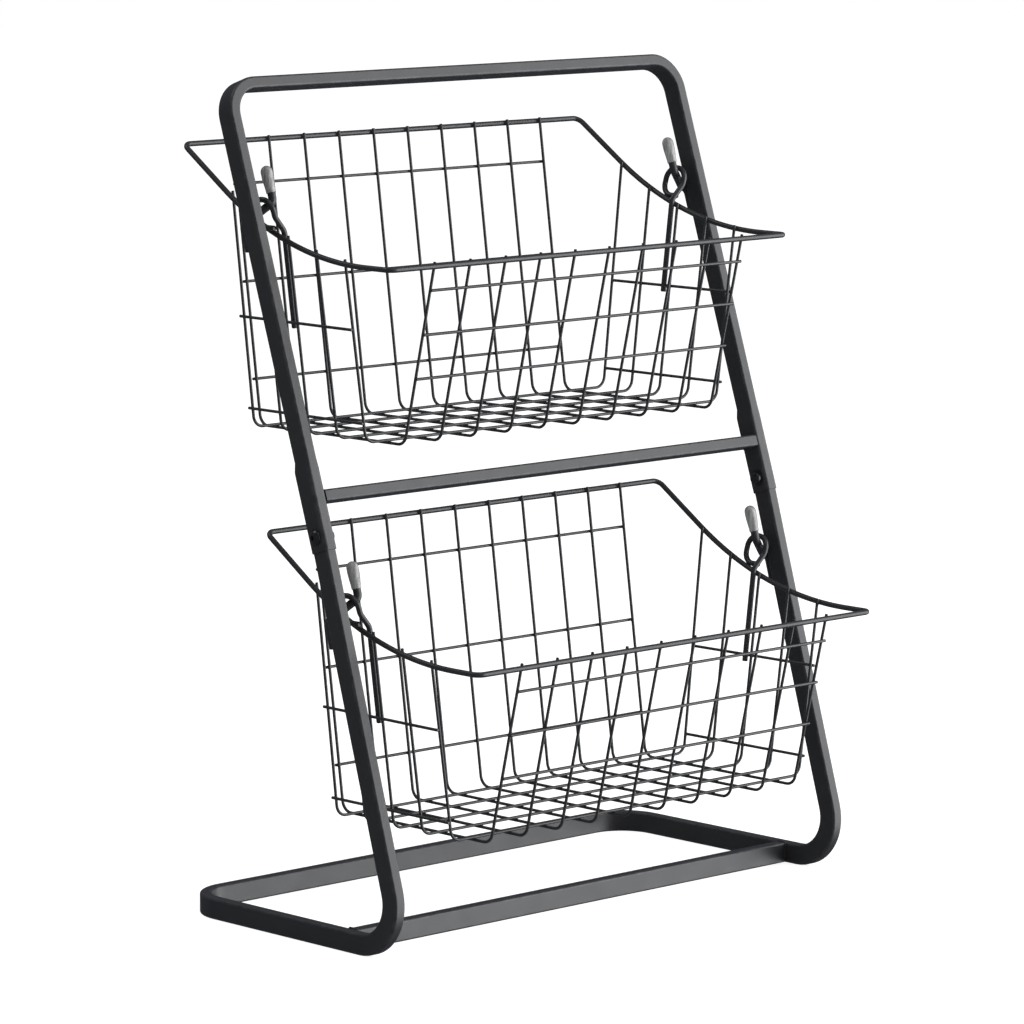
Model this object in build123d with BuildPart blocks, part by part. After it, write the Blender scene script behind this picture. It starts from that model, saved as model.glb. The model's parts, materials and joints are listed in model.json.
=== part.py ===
from build123d import *
from math import acos, asin, atan2, ceil, cos, hypot, radians, sin, sqrt, tan
import os

# Two-tier wire basket stand, in millimetres: X to the right, Y to the back, Z up.
# The origin lies on the floor under the middle of the whole stand.

# Frame tube, a flat oblong section
tube_width = 8.0
tube_depth = 14.0
tube_wall = 1.0
tube_edge_chamfer = 0.8

# Lower tube: base loop and the two lower uprights, bent from one length
frame_width = 410.0
base_length = 213.5
front_bend_radius = 36.0
rear_bend_radius = 33.0
lower_lean = 16.6
front_bar_setback = 46.0

# Upper hoop, whose mouths slide over the lower uprights
upper_lean = 18.4
hoop_bend_radius = 25.0
socket_length = 59.0
socket_taper = 6.0
socket_wall = 0.8
socket_clearance = 0.05
socket_insertion = 50.0
kink_drop = 3.0
kink_radius = 60.0
mid_bar_rise = 30.7
butt_gap = 0.01

# Bolt and dome nut that lock each mouth to its upright
bolt_rise = 9.5
bolt_diameter = 5.0
bolt_clearance = 0.15
head_diameter = 10.0
head_height = 2.8
washer_diameter = 11.0
washer_thickness = 0.8
nut_diameter = 8.6
nut_height = 4.4
nut_chamfer = 2.4
bolt_end_depth = 3.0
thread_clearance = 0.05

# Swan-neck pegs, two on each tier, with vinyl caps: insets are from the upright's inner face
peg_diameter = 5.4
peg_bend_radius = 5.0
peg_shank_length = 18.0
peg_turn_inset = 1.0
peg_turn_rise = 2.2
peg_inset = 15.4
peg_neck_rise = 11.0
peg_riser_length = 22.8
peg_riser_depth = 6.0
cap_length = 18.0
cap_mouth_wall = 0.5
cap_bulge = 0.78
cap_bulge_rise = 11.0
cap_end = 1.2
cap_chamfer = 2.2
cap_clearance = 0.02

# Heights that the baskets set: floor over the base, seam over the lower hanging line,
# floor over the middle bar and hoop top over the upper hanging line
lower_floor_gap = 57.3
seam_above_hang = 38.0
upper_floor_gap = 24.0
hang_below_top = 85.9

# Wires and rods are eight-sided, with flats round each bend that lie this far inside its arc at most
wire_sides = 8
bend_flat_depth = 0.3

# Basket wires, measured over their corners
wire_diameter = 2.0
rim_diameter = 3.75
hanger_diameter = 3.75
wire_bend_radius = 8.0
rim_corner_radius = 5.5
wire_end_rise = 2.6
rail_overhang = 1.5

# Basket shape: reaches from the line through its two hanging points, heights from its floor,
# and how far each wall splays out from the floor to the rim
hang_inset = 9.0
rim_hang_gap = 9.0
rim_back_reach = 88.8
rim_front_reach = 112.2
rim_front_height = 116.9
rim_rise = 68.3
rim_slope = 33.5
rim_sweep_radius = 250.0
side_splay = 19.7
back_splay = 28.9
front_splay = 31.3

# Wire pattern: margins are from the floor's edges and down from the rim
long_wire_count = 10
long_wire_margin = 20.25
cross_wire_count = 5
cross_back_margin = 17.1
cross_front_margin = 14.5
wall_rail_count = 3
back_rail_start = 29.9
back_rail_margin = 27.9
front_rail_start = 43.4
front_rail_margin = 15.7
low_side_rail = 14.6
high_side_margin = 41.5

# Hanger wire: a leg inside the side wall, bent out over the rim into an eye
hang_above_rim = 17.2
leg_offset = 4.6
leg_foot = 4.0
leg_top_rise = 3.5
eye_width = 17.0
eye_stretch = 1.5
eye_flat = 1.0
eye_side_run = 3.0
eye_lean_out = 5.6
eye_top_rise = 6.9
eye_end_gap = 3.0

os.makedirs("parts", exist_ok=True)


def finish(part, name):
    """Label a finished piece and write it."""
    part.label = name
    export_step(part, f"parts/{name}.step")


def chamfered_section(swell):
    """Outline of the frame tube's section, swelled on every side."""
    with BuildSketch(Plane.XY, mode=Mode.PRIVATE) as section:
        Rectangle(tube_width + 2 * swell, tube_depth + 2 * swell)
        chamfer(section.vertices(), tube_edge_chamfer)
    return section.sketch


def tube_section():
    """Section of the frame tube, with its plain bore."""
    with BuildSketch(Plane.XY, mode=Mode.PRIVATE) as section:
        add(chamfered_section(0))
        Rectangle(tube_width - 2 * tube_wall, tube_depth - 2 * tube_wall, mode=Mode.SUBTRACT)
    return section.sketch


def bend_stops(points, radii, close):
    """Ends of the straight runs of a bent wire, with flats round each bend."""
    with BuildLine() as route:
        FilletPolyline(*points, radius=radii, close=close)
    stops = []
    for edge in route.wire().order_edges():
        flats = 1
        if edge.geom_type == GeomType.CIRCLE:
            flat_turn = 2 * acos(1 - bend_flat_depth / edge.radius)
            flats = ceil(edge.length / edge.radius / flat_turn)
        stops += [edge @ (index / flats) for index in range(flats)]
    if close:
        return stops
    return [*stops, edge @ 1]


def bent_wire(points, diameter, radii, close=False):
    """One wire or rod bent through the points."""
    with BuildPart() as wire:
        with BuildLine() as path:
            Polyline(*bend_stops(points, radii, close), close=close)
        with BuildSketch(Plane(origin=path.line @ 0, z_dir=path.line % 0)):
            RegularPolygon(diameter / 2, wire_sides)
        sweep(transition=Transition.RIGHT)
    return wire.part


def on_upright(plane, x, rise, depth):
    """A point at x, a rise along an upright and a depth behind its front face."""
    return plane.from_local_coords(Vector(x, rise, -depth))


# Side view of a basket: its rim runs level from the front, sweeps up and climbs straight to the back
slope_tan = tan(radians(rim_slope))
bend_share = tan(radians(rim_slope / 2))
rim_back_height = rim_front_height + rim_rise
rim_knee = rim_back_reach - rim_rise / slope_tan
level_room = rim_front_reach + rim_knee - 2 * rim_corner_radius
climb_room = hypot(rim_back_reach - rim_knee, rim_rise) - 2 * rim_corner_radius
rim_bend_radius = min(rim_sweep_radius, level_room / bend_share, climb_room / bend_share)
sweep_start = rim_knee - rim_bend_radius * bend_share
sweep_end = sweep_start + rim_bend_radius * sin(radians(rim_slope))


def rim_height(y):
    """Height of the rim's side run above the basket floor, at y behind the hanging line."""
    if y < sweep_start:
        return rim_front_height
    if y < sweep_end:
        return rim_front_height + rim_bend_radius - sqrt(rim_bend_radius**2 - (y - sweep_start) ** 2)
    return rim_back_height - (rim_back_reach - y) * slope_tan


# Floor of a basket, its cross wires and the height of the hanging line over it
floor_back_reach = rim_back_reach - back_splay
floor_front_reach = rim_front_reach - front_splay
cross_start = cross_front_margin - floor_front_reach
cross_pitch = (floor_back_reach - cross_back_margin - cross_start) / (cross_wire_count - 1)
cross_wire_ys = [cross_start + index * cross_pitch for index in range(cross_wire_count)]
middle_wire_y = cross_wire_ys[cross_wire_count // 2]
leg_y = middle_wire_y + leg_offset
hang_height = rim_height(leg_y) + hang_above_rim

# The leaning uprights, seen from the side, measured back from the foremost point of the base
lower_sin = sin(radians(lower_lean))
lower_cos = cos(radians(lower_lean))
upper_sin = sin(radians(upper_lean))
upper_cos = cos(radians(upper_lean))
half_depth = tube_depth / 2
half_width = tube_width / 2
upright_x = frame_width / 2 - half_width
inner_face_x = upright_x - half_width
front_axis_radius = front_bend_radius - half_depth
socket_swell = socket_clearance + socket_wall
bend_end_y = front_bend_radius - front_axis_radius * lower_cos
bend_end_z = front_bend_radius + front_axis_radius * lower_sin
lower_hang_z = tube_depth + lower_floor_gap + hang_height
seam_height = lower_hang_z + seam_above_hang
kink_run = (seam_height - half_depth * lower_sin - bend_end_z) / lower_cos - kink_drop
kink_from_front = bend_end_y + kink_run * lower_sin
kink_z = bend_end_z + kink_run * lower_cos
seam_from_front = kink_from_front + kink_drop * upper_sin
seam_z = kink_z + kink_drop * upper_cos
socket_axis_depth = half_depth + socket_swell
hoop_from_front = seam_from_front - socket_axis_depth * upper_cos
hoop_z = seam_z + socket_axis_depth * upper_sin

# Depth behind the front face at which a peg's neck crosses the hanging point
peg_shank_depth = tube_depth + peg_diameter / 2 + butt_gap
turn_x = inner_face_x - peg_turn_inset
hang_x = inner_face_x - hang_inset
riser_x = inner_face_x - peg_inset
neck_share = (turn_x - hang_x) / (turn_x - riser_x)
hang_depth = peg_shank_depth - neck_share * (peg_shank_depth - peg_riser_depth)
hang_above_neck = peg_turn_rise + neck_share * (peg_neck_rise - peg_turn_rise)

# Rises of the hanging lines, from the kink below the seam and from the seam
lower_face_z = kink_z + half_depth * lower_sin
lower_hang_rise = (lower_hang_z + hang_depth * lower_sin - lower_face_z) / lower_cos
mid_bar_top_z = hoop_z + (mid_bar_rise + tube_width) * upper_cos
upper_hang_z = mid_bar_top_z + upper_floor_gap + hang_height
upper_hang_rise = (upper_hang_z + hang_depth * upper_sin - hoop_z) / upper_cos
hoop_length = upper_hang_rise + hang_below_top

# The stand reaches from the front rim of the lower basket to the back rim of the upper one
upper_hang_from_front = hoop_from_front + upper_hang_rise * upper_sin + hang_depth * upper_cos
lower_hang_from_front = (
    kink_from_front + lower_hang_rise * lower_sin + (hang_depth - half_depth) * lower_cos
)
back_extent = upper_hang_from_front + rim_back_reach + rim_diameter / 2
front_overhang = rim_front_reach + rim_diameter / 2 - lower_hang_from_front
base_front = (front_overhang - back_extent) / 2

# Planes on the front faces of the uprights, with their origins at the seam and at the kink
hoop_plane = Plane(
    origin=(0, base_front + hoop_from_front, hoop_z),
    x_dir=(1, 0, 0),
    z_dir=(0, -upper_cos, upper_sin),
)
lower_plane = Plane(
    origin=(0, base_front + kink_from_front - half_depth * lower_cos, lower_face_z),
    x_dir=(1, 0, 0),
    z_dir=(0, -lower_cos, lower_sin),
)

# Bolt line through both uprights
bolt_centre = on_upright(hoop_plane, 0, bolt_rise, socket_axis_depth)
bolt_plane = Plane(origin=(-frame_width, bolt_centre.Y, bolt_centre.Z), z_dir=(1, 0, 0))
bolt_hole_radius = bolt_diameter / 2 + bolt_clearance

# Lower tube: down one upright, back round the base loop and up the other
tube_top_run = socket_insertion + kink_drop
foot_run = (half_depth - bend_end_z) / lower_cos
side_points = [
    (base_front + kink_from_front + tube_top_run * upper_sin, kink_z + tube_top_run * upper_cos),
    (base_front + kink_from_front, kink_z),
    (base_front + bend_end_y + foot_run * lower_sin, half_depth),
    (base_front + base_length - half_width, half_depth),
]
left_points = [(-upright_x, y, z) for y, z in side_points]
right_points = [(upright_x, y, z) for y, z in reversed(side_points)]
side_radii = [kink_radius, front_axis_radius, rear_bend_radius - half_width]

with BuildPart() as lower_tube:
    with BuildLine() as loop_path:
        FilletPolyline(*left_points, *right_points, radius=side_radii + side_radii[::-1])
    with BuildSketch(Plane(origin=loop_path.line @ 0, x_dir=(1, 0, 0), z_dir=loop_path.line % 0)):
        add(tube_section())
    sweep()
    with BuildSketch(bolt_plane):
        Circle(bolt_hole_radius)
    extrude(amount=2 * frame_width, mode=Mode.SUBTRACT)
finish(lower_tube.part, "lower_tube")

# Front bar: a straight tube butted between the side runs of the base
front_bar_half = inner_face_x - butt_gap
with BuildPart() as front_bar:
    with BuildSketch(Plane.YZ.offset(-front_bar_half)):
        with Locations((base_front + front_bar_setback + half_width, half_depth)):
            add(tube_section())
    extrude(amount=2 * front_bar_half)
finish(front_bar.part, "front_bar")

# Upper hoop: one bent tube, each end swelled into a mouth that slides over an upright
swell_length = socket_length - socket_taper
hoop_top = hoop_length - half_width
mouth_plane = Plane(origin=hoop_plane.origin, x_dir=(1, 0, 0), z_dir=hoop_plane.y_dir)

with BuildPart() as upper_hoop:
    with BuildLine(hoop_plane.offset(-half_depth)) as hoop_path:
        FilletPolyline(
            (-upright_x, socket_length),
            (-upright_x, hoop_top),
            (upright_x, hoop_top),
            (upright_x, socket_length),
            radius=hoop_bend_radius - half_width,
        )
    with BuildSketch(Plane(origin=hoop_path.line @ 0, x_dir=(1, 0, 0), z_dir=hoop_path.line % 0)):
        add(tube_section())
    sweep()
    for x in (-upright_x, upright_x):
        # The mouth, parallel for most of its length and tapered into the tube
        with BuildSketch(mouth_plane):
            with Locations((x, socket_axis_depth)):
                add(chamfered_section(socket_swell))
                add(chamfered_section(socket_clearance), mode=Mode.SUBTRACT)
        extrude(amount=swell_length)
        with BuildSketch(mouth_plane.offset(swell_length)):
            with Locations((x, socket_axis_depth)):
                add(chamfered_section(socket_swell))
        with BuildSketch(mouth_plane.offset(socket_length)):
            with Locations((x, half_depth)):
                add(chamfered_section(0))
        loft(ruled=True)
        with BuildSketch(mouth_plane.offset(swell_length)):
            with Locations((x, half_depth)):
                Rectangle(tube_width - 2 * tube_wall, tube_depth - 2 * tube_wall)
        extrude(amount=socket_taper, mode=Mode.SUBTRACT)
    with BuildSketch(bolt_plane):
        Circle(bolt_hole_radius)
    extrude(amount=2 * frame_width, mode=Mode.SUBTRACT)
finish(upper_hoop.part, "upper_hoop")

# Middle bar: a straight tube butted between the two mouths, its face flush with theirs
mid_bar_half = inner_face_x - socket_swell - butt_gap
mid_bar_centre = on_upright(hoop_plane, -mid_bar_half, mid_bar_rise + half_width, half_depth)
with BuildPart() as mid_bar:
    with BuildSketch(Plane(origin=mid_bar_centre, x_dir=hoop_plane.y_dir, z_dir=(1, 0, 0))):
        add(tube_section())
    extrude(amount=2 * mid_bar_half)
finish(mid_bar.part, "mid_bar")

# Bolts: a domed head on the outer side of each mouth, the end screwed into the nut
mouth_outer_x = upright_x + half_width + socket_swell
mouth_inner_x = inner_face_x - socket_swell
bolt_radius = bolt_diameter / 2
bolt_length = mouth_outer_x - mouth_inner_x + bolt_end_depth
head_radius = head_diameter / 2
head_sphere_radius = (head_radius**2 + head_height**2) / (2 * head_height)
with BuildPart() as bolts:
    for side in (-1, 1):
        head_seat = Vector(side * mouth_outer_x, bolt_centre.Y, bolt_centre.Z)
        with BuildSketch(Plane(origin=head_seat, x_dir=(0, 0, 1), z_dir=(0, side, 0))):
            with Locations((0, head_height - head_sphere_radius)):
                Circle(head_sphere_radius)
            Rectangle(head_radius, head_height, align=(Align.MIN, Align.MIN), mode=Mode.INTERSECT)
            Rectangle(bolt_radius, bolt_length, align=(Align.MIN, Align.MAX))
        revolve(axis=Axis(head_seat, (1, 0, 0)))
finish(bolts.part, "bolts")

# Dome nuts with a washer foot, on the inner side of each mouth
nut_radius = nut_diameter / 2
nut_bore_radius = bolt_radius + thread_clearance
nut_bore_depth = bolt_end_depth + thread_clearance
with BuildPart() as nuts:
    for side in (-1, 1):
        nut_seat = Vector(side * mouth_inner_x, bolt_centre.Y, bolt_centre.Z)
        with BuildSketch(Plane(origin=nut_seat, x_dir=(0, 0, 1), z_dir=(0, -side, 0))) as nut_profile:
            Rectangle(nut_radius, nut_height, align=(Align.MIN, Align.MIN))
            crown = nut_profile.vertices().sort_by_distance((nut_radius, nut_height))
            chamfer(crown[0], nut_chamfer)
            Rectangle(washer_diameter / 2, washer_thickness, align=(Align.MIN, Align.MIN))
            Rectangle(
                nut_bore_radius, nut_bore_depth, align=(Align.MIN, Align.MIN), mode=Mode.SUBTRACT
            )
        revolve(axis=Axis(nut_seat, (1, 0, 0)))
finish(nuts.part, "nuts")

# Pegs: shank on the rear face, neck in and forward through the eye, riser parallel to the upright
tiers = {"upper": (hoop_plane, upper_hang_rise), "lower": (lower_plane, lower_hang_rise)}
hands = {"left": -1, "right": 1}
for tier, (plane, hang_rise) in tiers.items():
    neck_rise = hang_rise - hang_above_neck
    riser_rise = neck_rise + peg_neck_rise
    for hand, side in hands.items():
        peg = bent_wire(
            [
                on_upright(plane, side * upright_x, neck_rise - peg_shank_length, peg_shank_depth),
                on_upright(plane, side * upright_x, neck_rise, peg_shank_depth),
                on_upright(plane, side * turn_x, neck_rise + peg_turn_rise, peg_shank_depth),
                on_upright(plane, side * riser_x, riser_rise, peg_riser_depth),
                on_upright(plane, side * riser_x, riser_rise + peg_riser_length, peg_riser_depth),
            ],
            peg_diameter,
            peg_bend_radius,
        )
        finish(peg, f"{tier}_{hand}_peg")

# Caps: vinyl sleeves pushed over the pegs, widening from a thin mouth to a thick closed end
cap_bore_radius = peg_diameter / 2 + cap_clearance
cap_mouth_radius = cap_bore_radius + cap_mouth_wall
cap_radius = cap_mouth_radius + cap_bulge
cap_bore_depth = cap_length - cap_end
with BuildPart() as peg_caps:
    for plane, hang_rise in tiers.values():
        tip_rise = hang_rise - hang_above_neck + peg_neck_rise + peg_riser_length
        for side in hands.values():
            cap_mouth = on_upright(plane, side * riser_x, tip_rise - cap_bore_depth, peg_riser_depth)
            with BuildSketch(Plane(origin=cap_mouth, x_dir=(1, 0, 0), z_dir=plane.z_dir)):
                with BuildLine():
                    Polyline(
                        (0, 0),
                        (cap_mouth_radius, 0),
                        (cap_radius, cap_bulge_rise),
                        (cap_radius, cap_length - cap_chamfer),
                        (cap_radius - cap_chamfer, cap_length),
                        (0, cap_length),
                        close=True,
                    )
                make_face()
                Rectangle(
                    cap_bore_radius, cap_bore_depth, align=(Align.MIN, Align.MIN), mode=Mode.SUBTRACT
                )
            revolve(axis=Axis(cap_mouth, plane.y_dir))
finish(peg_caps.part, "peg_caps")


def lean_inside(reach, height, touch):
    """Lean of a wire from a floor corner that passes a rim at reach and height, inside it by touch."""
    return atan2(reach, height) - asin(touch / hypot(reach, height))


rim_touch = (rim_diameter + wire_diameter) / 2
back_lean = lean_inside(rim_back_reach - floor_back_reach, rim_back_height, rim_touch)
front_lean = lean_inside(rim_front_reach - floor_front_reach, rim_front_height, rim_touch)

# Long wires: front wall, floor and back wall in one bend, ten in a row
back_top = rim_back_height + wire_end_rise
front_top = rim_front_height + wire_end_rise
long_profile = [
    (floor_back_reach + back_top * tan(back_lean), back_top),
    (floor_back_reach, 0),
    (-floor_front_reach, 0),
    (-floor_front_reach - front_top * tan(front_lean), front_top),
]
rim_half_width = hang_x - rim_hang_gap
floor_half_width = rim_half_width - side_splay
long_wire_start = long_wire_margin - floor_half_width
long_wire_pitch = -2 * long_wire_start / (long_wire_count - 1)
long_wire_xs = [long_wire_start + index * long_wire_pitch for index in range(long_wire_count)]

# Cross wires: left wall, floor and right wall, lying on the long wires
cross_floor = wire_diameter


def side_wall_lean(y):
    """Lean of the side wall at y behind the hanging line."""
    return lean_inside(rim_half_width - floor_half_width, rim_height(y) - cross_floor, rim_touch)


def side_wall_x(y, height):
    """Distance from the middle plane to the axis of a side wire at y and a height."""
    return floor_half_width + (height - cross_floor) * tan(side_wall_lean(y))


# Rails: straight wires welded across the outside of the walls
wall_rail_half = long_wire_xs[-1] + rail_overhang
back_rail_pitch = (rim_back_height - back_rail_margin - back_rail_start) / (wall_rail_count - 1)
front_rail_pitch = (rim_front_height - front_rail_margin - front_rail_start) / (wall_rail_count - 1)
back_rails = [back_rail_start + index * back_rail_pitch for index in range(wall_rail_count)]
front_rails = [front_rail_start + index * front_rail_pitch for index in range(wall_rail_count)]
high_side_rail = rim_front_height - high_side_margin
back_rail_points = [
    (floor_back_reach + height * tan(back_lean) + wire_diameter / cos(back_lean), height)
    for height in back_rails
]
front_rail_points = [
    (-floor_front_reach - height * tan(front_lean) - wire_diameter / cos(front_lean), height)
    for height in front_rails
]
rail_front_y = cross_wire_ys[0] - rail_overhang
rail_back_y = cross_wire_ys[-1] + rail_overhang


def side_rail_x(y, height):
    """Distance from the middle plane to a side rail, which clears the most outward side wire."""
    front_x = side_wall_x(cross_wire_ys[0], height)
    back_x = side_wall_x(cross_wire_ys[-1], height)
    slope = (back_x - front_x) / (cross_wire_ys[-1] - cross_wire_ys[0])
    bulge = max(
        side_wall_x(wire_y, height) - front_x - slope * (wire_y - cross_wire_ys[0])
        for wire_y in cross_wire_ys
    )
    lean = side_wall_lean(middle_wire_y)
    return front_x + slope * (y - cross_wire_ys[0]) + bulge + wire_diameter / cos(lean)


# Hanger: leg against the high side rail and the rim, then out over the rim and round the eye
leg_rail_x = side_rail_x(leg_y, high_side_rail) - (wire_diameter + hanger_diameter) / 2
leg_rim_x = rim_half_width - (rim_diameter + hanger_diameter) / 2
leg_slope = (leg_rim_x - leg_rail_x) / (rim_height(leg_y) - high_side_rail)
leg_foot_height = high_side_rail - leg_foot
leg_top_height = rim_height(leg_y) + leg_top_rise
eye_height = eye_width + eye_stretch
eye_bend_radius = (eye_width - eye_flat) / 2
eye_side_drop = eye_bend_radius + eye_side_run
eye_top_height = hang_height + eye_top_rise
eye_side_height = eye_top_height - eye_side_drop
eye_bottom_height = eye_top_height - eye_height
eye_slope = eye_lean_out / eye_height
eye_side_x = hang_x - eye_side_drop * eye_slope
eye_bottom_x = hang_x - eye_lean_out
eye_half = eye_width / 2
hanger_profile = [
    (leg_rail_x - leg_foot * leg_slope, leg_y, leg_foot_height),
    (leg_rim_x + leg_top_rise * leg_slope, leg_y, leg_top_height),
    (eye_side_x, -eye_half, eye_side_height),
    (hang_x, -eye_half, eye_top_height),
    (hang_x, eye_half, eye_top_height),
    (eye_bottom_x, eye_half, eye_bottom_height),
    (eye_bottom_x, -eye_half + eye_end_gap, eye_bottom_height),
]


def write_basket(tier, hang):
    """All the wires of one basket, whose eyes hang on the pegs at the point given."""
    floor_z = hang.Z - hang_height

    rim_side = [(rim_knee, rim_front_height), (-rim_front_reach, rim_front_height)]
    rim_right = [(rim_half_width, y, height) for y, height in rim_side]
    rim_left = [(-rim_half_width, y, height) for y, height in reversed(rim_side)]
    rim_points = [
        (-rim_half_width, rim_back_reach, rim_back_height),
        (rim_half_width, rim_back_reach, rim_back_height),
        *rim_right,
        *rim_left,
    ]
    rim = bent_wire(
        [(x, hang.Y + y, floor_z + height) for x, y, height in rim_points],
        rim_diameter,
        [rim_corner_radius, rim_corner_radius, rim_bend_radius] * 2,
        close=True,
    )
    finish(rim, f"{tier}_rim")

    for index, x in enumerate(long_wire_xs):
        points = [(x, hang.Y + y, floor_z + height) for y, height in long_profile]
        wire = bent_wire(points, wire_diameter, wire_bend_radius)
        finish(wire, f"{tier}_long_wire_{index + 1}")

    for index, y in enumerate(cross_wire_ys):
        top = rim_height(y) + wire_end_rise
        half_profile = [(side_wall_x(y, top), top), (floor_half_width, cross_floor)]
        points = [(-x, hang.Y + y, floor_z + height) for x, height in half_profile]
        points += [(x, hang.Y + y, floor_z + height) for x, height in reversed(half_profile)]
        wire = bent_wire(points, wire_diameter, wire_bend_radius)
        finish(wire, f"{tier}_cross_wire_{index + 1}")

    for wall, rail_points in {"back": back_rail_points, "front": front_rail_points}.items():
        with BuildPart() as rails:
            with BuildSketch(Plane.YZ.offset(-wall_rail_half)):
                with Locations([(hang.Y + y, floor_z + height) for y, height in rail_points]):
                    RegularPolygon(wire_diameter / 2, wire_sides)
            extrude(amount=2 * wall_rail_half)
        finish(rails.part, f"{tier}_{wall}_rails")

    for hand, side in hands.items():
        with BuildPart() as side_rails:
            for height in (low_side_rail, high_side_rail):
                ends = [
                    Vector(side * side_rail_x(y, height), hang.Y + y, floor_z + height)
                    for y in (rail_front_y, rail_back_y)
                ]
                with BuildSketch(Plane(origin=ends[0], z_dir=ends[1] - ends[0])):
                    RegularPolygon(wire_diameter / 2, wire_sides)
                extrude(amount=(ends[1] - ends[0]).length)
        finish(side_rails.part, f"{tier}_{hand}_side_rails")

        hanger = bent_wire(
            [(side * x, hang.Y + y, floor_z + height) for x, y, height in hanger_profile],
            hanger_diameter,
            eye_bend_radius,
        )
        finish(hanger, f"{tier}_{hand}_hanger")


for tier, (plane, hang_rise) in tiers.items():
    write_basket(tier, on_upright(plane, 0, hang_rise, hang_depth))
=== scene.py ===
import json
from math import asin, atan2, cos, hypot, pi, radians, sin, sqrt, tan

import bpy
import numpy as np
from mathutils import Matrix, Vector


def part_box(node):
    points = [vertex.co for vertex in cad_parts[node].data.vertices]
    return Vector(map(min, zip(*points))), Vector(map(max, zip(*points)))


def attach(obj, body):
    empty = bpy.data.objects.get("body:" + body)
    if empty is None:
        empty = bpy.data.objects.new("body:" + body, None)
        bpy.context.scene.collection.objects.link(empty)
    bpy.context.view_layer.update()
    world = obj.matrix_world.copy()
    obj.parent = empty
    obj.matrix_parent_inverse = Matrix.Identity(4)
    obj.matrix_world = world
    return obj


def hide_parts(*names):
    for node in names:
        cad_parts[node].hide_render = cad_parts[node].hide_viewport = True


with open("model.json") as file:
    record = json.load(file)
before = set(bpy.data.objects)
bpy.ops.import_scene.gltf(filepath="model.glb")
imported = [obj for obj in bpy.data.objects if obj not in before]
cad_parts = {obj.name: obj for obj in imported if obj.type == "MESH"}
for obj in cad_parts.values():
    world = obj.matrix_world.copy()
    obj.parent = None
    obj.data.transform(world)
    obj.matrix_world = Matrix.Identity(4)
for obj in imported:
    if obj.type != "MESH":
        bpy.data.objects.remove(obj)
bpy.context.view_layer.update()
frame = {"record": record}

# Camera: a long lens to the left of the front, a little above the upper basket, so that the
# uprights stay almost parallel in the picture.
camera_data = bpy.data.cameras.new("camera")
camera_data.lens = 185.0
camera_data.sensor_width = 36.0
camera_fall = 8.251
camera_turn = 43.338
camera_spot = (-2.3772, -2.5009, 0.7588)
camera = bpy.data.objects.new("camera", camera_data)
camera.location = camera_spot
camera.rotation_euler = (radians(90 - camera_fall), 0, radians(-camera_turn))
bpy.context.scene.collection.objects.link(camera)
bpy.context.scene.camera = camera
bpy.context.scene.view_settings.view_transform = "Standard"

# Studio lights: a wide softbox low on the right of the front, a softer one high behind the left,
# and a faint one high in front that opens the shadows.
stand_middle = Vector((0, 0, 0.27))


def softbox(name, azimuth, elevation, distance, width, height, radiance, colour, mirrored=True):
    """A soft rectangular lamp that faces the stand; azimuth 0 is in front and 90 on the right."""
    lamp = bpy.data.lights.new(name, "AREA")
    lamp.shape = "RECTANGLE"
    lamp.size = width
    lamp.size_y = height
    lamp.energy = radiance * pi * width * height
    lamp.color = colour
    holder = bpy.data.objects.new(name, lamp)
    holder.visible_glossy = mirrored
    around = radians(azimuth)
    up = radians(elevation)
    away = Vector((sin(around) * cos(up), -cos(around) * cos(up), sin(up)))
    holder.location = stand_middle + distance * away
    holder.rotation_euler = away.to_track_quat("Z", "Y").to_euler()
    bpy.context.scene.collection.objects.link(holder)


softbox(
    "key_softbox",
    azimuth=45,
    elevation=18,
    distance=3.0,
    width=2.6,
    height=2.2,
    radiance=4.4,
    colour=(1.0, 0.99, 0.97),
    mirrored=False,
)
softbox(
    "rear_softbox",
    azimuth=215,
    elevation=52,
    distance=3.0,
    width=1.8,
    height=1.2,
    radiance=1.6,
    colour=(0.93, 0.96, 1.0),
)
softbox(
    "fill_softbox",
    azimuth=-20,
    elevation=62,
    distance=3.2,
    width=1.6,
    height=1.6,
    radiance=0.9,
    colour=(1.0, 1.0, 1.0),
)

# Floor and backdrop: seamless white paper, which the camera sees lit to white with the stand's
# shadow on it. What the coat mirrors is the room: white on the key's side, dark on the others.
white = (1, 1, 1, 1)
paper_colour = (0.62, 0.62, 0.62, 1)
paper_glow = 0.84
room_light = 0.36
bright_side = (0.68, -0.72, 0)
bright_side_start = 0.66
bright_side_full = 0.93
bright_band_rise = 0.05
bright_band_full = 0.38
bright_band_end = 0.70
mirrored_light = 3.6
mirrored_bright = (0.98, 0.99, 1.0, 1)
mirrored_dark = (0.022, 0.024, 0.030, 1)


def feed(node, sockets):
    """Fills a node's sockets, given by name or number. Each takes a value, or a link from another
    node's output, or from that node's first output in use where the node itself is given."""
    for socket, source in sockets.items():
        if isinstance(source, bpy.types.Node):
            source = next(output for output in source.outputs if output.enabled)
        if isinstance(source, bpy.types.NodeSocket):
            node.id_data.links.new(source, node.inputs[socket])
        else:
            node.inputs[socket].default_value = source


def new_node(tree, kind, sockets=None, **settings):
    """A shader node with its settings, whose sockets are then fed."""
    node = tree.nodes.new("ShaderNode" + kind)
    for setting, value in settings.items():
        setattr(node, setting, value)
    feed(node, sockets or {})
    return node


def ray_kinds(tree):
    """Two sockets: 1 for rays of the camera or through a clear piece, and 1 for mirrored rays."""
    path = new_node(tree, "LightPath").outputs
    seen_rays = {0: path["Is Camera Ray"], 1: path["Is Transmission Ray"]}
    seen = new_node(tree, "Math", seen_rays, operation="MAXIMUM")
    return seen.outputs[0], path["Is Glossy Ray"]


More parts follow.
